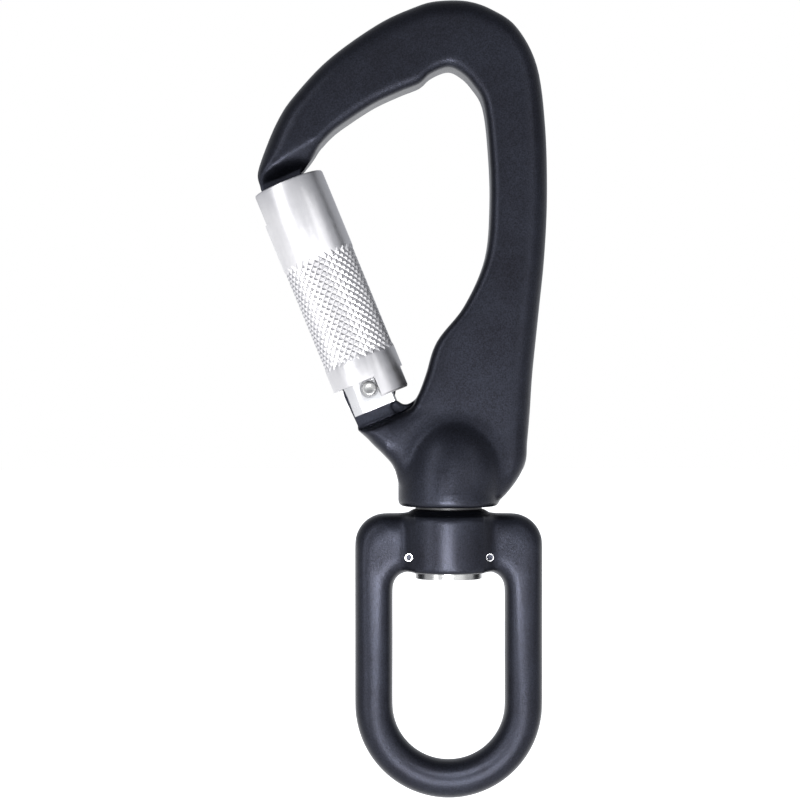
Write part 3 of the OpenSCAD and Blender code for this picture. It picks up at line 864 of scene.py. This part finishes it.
def block_cut(centre, size):
    """A rectangular cutter for slots."""
    bm = bmesh.new()
    place = Matrix.Translation(centre) @ Matrix.Diagonal((*size, 1))
    bmesh.ops.create_cube(bm, size=1, matrix=place)
    return raw_object(bm, "cutter")


def make_sleeve():
    bm = knurled_band()
    grow_ends(bm)
    sleeve = raw_object(bm, "twist_lock_sleeve")
    first, second = SKIRTS
    carve(sleeve, skirt_gap(first[1], second[0]))
    carve(sleeve, skirt_gap(second[1], first[0] + 360))
    carve(sleeve, block_cut((-SLEEVE_R, 0, NOSE_SLOT_LOW + 10), (10, NOSE_T + 0.5, 20)))
    sleeve.data.transform(TO_GATE)
    finish_piece(sleeve, "silver_anodised", "sleeve", ["locking_sleeve"], smooth_angle=28)


make_sleeve()

# %% [markdown]
# ## The gate and its hinge pin
# The gate is turned from steel bar: two heads guide the sleeve, and the thin shank between them
# leaves room for the sleeve's spring. Its foot is milled flat on both sides and slotted, which
# leaves two ears round the hook's tongue. The front ear is sunk round the pin.

# %% Gate
GATE_TOP = 42.0
HEAD_R = SLEEVE_R - WALL - 0.05
SHANK_R, PLUNGER_BORE_R = 4.2, 2.0
PIN_R, SINK_R, SINK_DEPTH = 1.6, 2.0, 2.5
EAR_HALF, EAR_DROP, EAR_R, EAR_RIGHT, FOOT_TOP = 5.0, 4.6, 6.2, 4.1, 7.4


def gate_foot():
    """A short bar, milled flat on its front, back and right, with its edges broken."""
    bm = bmesh.new()
    bmesh.ops.create_cone(bm, cap_ends=True, segments=SIDES, radius1=EAR_R, radius2=EAR_R,
                          depth=FOOT_TOP + EAR_DROP,
                          matrix=Matrix.Translation((0, 0, (FOOT_TOP - EAR_DROP) / 2)))
    slice_off(bm, (EAR_RIGHT, 0, 0), (1, 0, 0))
    slice_off(bm, (0, EAR_HALF, 0), (0, 1, 0))
    slice_off(bm, (0, -EAR_HALF, 0), (0, -1, 0))
    bevel_sharp(bm, 0.35)
    return raw_object(bm, "foot")


def make_gate():
    heads = [(0, 7.2), (HEAD_R - 0.2, 7.2), (HEAD_R, 7.4), (HEAD_R, 11.8), (HEAD_R - 0.2, 12),
             (SHANK_R, 12), (SHANK_R, 37), (HEAD_R - 0.2, 37), (HEAD_R, 37.2), (HEAD_R, 39),
             (HEAD_R - 1.2, 39), (HEAD_R - 1.2, 40), (HEAD_R, 40), (HEAD_R, 41.5),
             (HEAD_R - 0.15, 41.85), (HEAD_R - 0.5, GATE_TOP), (0, GATE_TOP)]
    gate = raw_object(lathe(heads, SIDES), "gate_barrel")
    carve(gate, gate_foot(), "UNION")
    carve(gate, block_cut((0, 0, -1), (30, TONGUE_T + 0.2, 15)))
    carve(gate, round_bar((0, 0, 15), (0, 0, 1), PLUNGER_BORE_R, 30))
    carve(gate, round_bar((pin_across, 0, 0), (0, 1, 0), PIN_R, 20))
    carve(gate, round_bar((pin_across, -EAR_HALF, 0), (0, 1, 0), SINK_R, 2 * SINK_DEPTH))
    gate.data.transform(TO_GATE)
    finish_piece(gate, "bright_steel", "gate", ["gate"], smooth_angle=30)


make_gate()

# %% [markdown]
# ## The hinge pin
# The pin is ground steel. Its back end is flush, and its front end stands out as far as the
# sleeve, whose skirts stop on it. A rounded edge and a shallow recess are all the detail it has,
# so half its outline, spun about its axis, makes the whole of it.

# %% Hinge pin
def make_hinge_pin():
    reach = SLEEVE_R - 0.2
    rivet = [(0, -EAR_HALF), (PIN_R - 0.1, -EAR_HALF), (PIN_R, 0.1 - EAR_HALF),
             (PIN_R, reach - 0.35), (PIN_R - 0.06, reach - 0.2), (PIN_R - 0.22, reach - 0.05),
             (PIN_R - 0.4, reach), (0.8, reach), (0.7, reach - 0.06), (0, reach - 0.1)]
    bm = lathe(rivet, 64)
    place = TO_GATE @ Matrix.Translation((pin_across, 0, 0)) @ LAID_BACK
    bmesh.ops.transform(bm, matrix=place, verts=bm.verts)
    finish_piece(raw_object(bm, "hinge_rivet"), "pin_steel", "gate", ["gate_pin"], smooth_angle=35)


make_hinge_pin()

# %% [markdown]
# ## The closing spring
# A coil spring pushes the plunger down and so shuts the gate. A small circle that is spun round
# the gate's axis, and lifted a little at each step, becomes a coil. The spring gets shorter when
# the gate opens, but this coil isn't squashed: it keeps the length of the frame's spring.

# %% Closing spring
SPRING_TURNS = 12
SPRING_R = 1.45  # from the axis to the middle of the wire
STEPS_PER_TURN = 20
WIRE_SIDES = 10


def make_closing_spring():
    to_local = TO_GATE.inverted()
    points = [to_local @ (v.co / MM) for v in frame["nodes"]["gate_spring"].data.vertices]
    low, high = min(p.z for p in points), max(p.z for p in points)
    wire_r = max(p.x for p in points) - SPRING_R
    steps = SPRING_TURNS * STEPS_PER_TURN
    bm = bmesh.new()
    start = Matrix.Translation((SPRING_R, 0, low + wire_r)) @ LAID_BACK
    bmesh.ops.create_circle(bm, segments=WIRE_SIDES, radius=wire_r, matrix=start)
    bmesh.ops.spin(bm, geom=bm.verts[:] + bm.edges[:], cent=(0, 0, 0), axis=(0, 0, 1),
                   dvec=(0, 0, (high - low - 2 * wire_r) / steps), angle=math.tau * SPRING_TURNS,
                   steps=steps, use_merge=False, use_duplicate=False)
    bmesh.ops.holes_fill(bm, edges=[e for e in bm.edges if e.is_boundary], sides=0)
    bmesh.ops.recalc_face_normals(bm, faces=bm.faces)
    bmesh.ops.transform(bm, matrix=TO_GATE, verts=bm.verts)
    spring = raw_object(bm, "closing_spring")
    finish_piece(spring, "spring_steel", "gate", ["gate_spring"], smooth_angle=60)
    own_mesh(spring)
    print("closing spring", round(high - low, 2), "mm long, wire", round(2 * wire_r, 2), "mm thick")


make_closing_spring()

# %% [markdown]
# ## The parts that stay as they are
# Every other part has its right shape already. It keeps its mesh and only takes its material, by
# the slot that the record names for it.

# %% Carried-over parts
slots = {part["node"]: part["material_slot"] for part in frame["record"]["subparts"]}
for name, part in frame["nodes"].items():
    part.data.materials.clear()
    part.data.materials.append(FINISHES[slots[name]])

# %% [markdown]
# ## Floor
# A pale floor far below the part glows a little, as a light table does. It lights the part from
# below and leaves the background white. Floor, lights and camera are placed in metres.

# %% Floor
FLOOR_Z, FLOOR_R = -0.30, 6
bpy.context.scene.view_settings.view_transform = "Standard"


def make_floor():
    bm = bmesh.new()
    bmesh.ops.create_circle(bm, cap_ends=True, segments=64, radius=FLOOR_R,
                            matrix=Matrix.Translation((0, 0, FLOOR_Z)))
    mesh = bpy.data.meshes.new("floor")
    bm.to_mesh(mesh)
    bm.free()
    floor = bpy.data.objects.new("floor", mesh)
    bpy.context.collection.objects.link(floor)
    material, tree = new_material("pale_floor")
    white = colour("#fcfcfc")
    matt = add_node(tree, "BsdfDiffuse", inputs={"Color": white})
    glow = add_node(tree, "Emission", inputs={"Color": white, "Strength": 0.95})
    both = add_node(tree, "AddShader", inputs={0: matt.outputs[0], 1: glow.outputs[0]})
    close_material(tree, both)
    mesh.materials.append(material)


make_floor()

# %% [markdown]
# ## Light
# Metal shows what it reflects, so the boxes are placed for their reflections. The tall box on the
# left draws the bright band along the sleeve, and a weaker one on the right fills the other side.
# The broad front box brings up the flat faces, the low one the eye's bow, and a very small one
# the hub. The camera doesn't see the boxes. A grey sky that is brighter low down fills the rest,
# and it is plain white where the camera looks past the part.

# %% Lights
def soft_box(name, place, aim, size, power):
    lamp = bpy.data.lights.new(name, "AREA")
    lamp.shape = "RECTANGLE"
    lamp.size, lamp.size_y = size
    lamp.energy = power
    box = bpy.data.objects.new(name, lamp)
    box.location = place
    box.rotation_euler = (Vector(aim) - Vector(place)).to_track_quat("-Z", "Y").to_euler()
    box.visible_camera = False
    bpy.context.collection.objects.link(box)


def make_sky():
    world = bpy.data.worlds.new("studio")
    bpy.context.scene.world = world
    world.use_nodes = True
    tree = world.node_tree
    tree.nodes.clear()
    place = add_node(tree, "TexCoord")
    height = add_node(tree, "SeparateXYZ", inputs={0: place.outputs["Generated"]})
    dusk = add_node(tree, "MapRange", inputs={
        "Value": height.outputs["Z"], "From Min": -0.2, "From Max": 0.9,
        "To Min": 0.9, "To Max": 0.5})
    fill = add_node(tree, "Background", inputs={
        "Color": colour("#eef1f8"), "Strength": dusk.outputs["Result"]})
    seen = add_node(tree, "Background", inputs={"Color": colour("#ffffff"), "Strength": 1.0})
    path = add_node(tree, "LightPath")
    mix = add_node(tree, "MixShader", inputs={
        0: path.outputs["Is Camera Ray"], 1: fill.outputs[0], 2: seen.outputs[0]})
    add_node(tree, "OutputWorld", inputs={"Surface": mix.outputs[0]})


middle = (sum((Vector(c) for c in cad_box), Vector()) / 2)
BOXES = {  # place, what it points at, width and height, watts
    "left_box": ((-0.40, -0.40, -0.03), middle, (0.12, 0.8), 2.2),
    "right_box": ((0.36, -0.44, -0.03), middle, (0.3, 0.7), 0.9),
    "front_box": ((0.05, -0.55, 0.05), middle, (0.6, 0.6), 0.64),
    "low_box": ((0.005, -0.25, -0.23), (0, 0, -0.13), (0.14, 0.06), 0.75),
    "hub_box": ((-0.006, -0.08, -0.116), (0, 0, -0.107), (0.016, 0.02), 0.075),
}
for box_name, settings in BOXES.items():
    soft_box(box_name, *settings)
make_sky()

# %% [markdown]
# ## Camera
# The camera looks straight at the front from 430 mm and takes in 176 mm across, which settles its
# lens. It stands level with the middle of the whole carabiner.

# %% Camera
VIEW_WIDTH = 0.176
DISTANCE = 0.43
VIEW_X, VIEW_Z = -0.0107, -0.0726
camera = bpy.data.cameras.new("camera")
camera.lens = camera.sensor_width * DISTANCE / VIEW_WIDTH
viewer = bpy.data.objects.new("camera", camera)
viewer.location = (VIEW_X, -DISTANCE, VIEW_Z)
viewer.rotation_euler = (math.radians(90), 0, 0)
bpy.context.collection.objects.link(viewer)
bpy.context.scene.camera = viewer
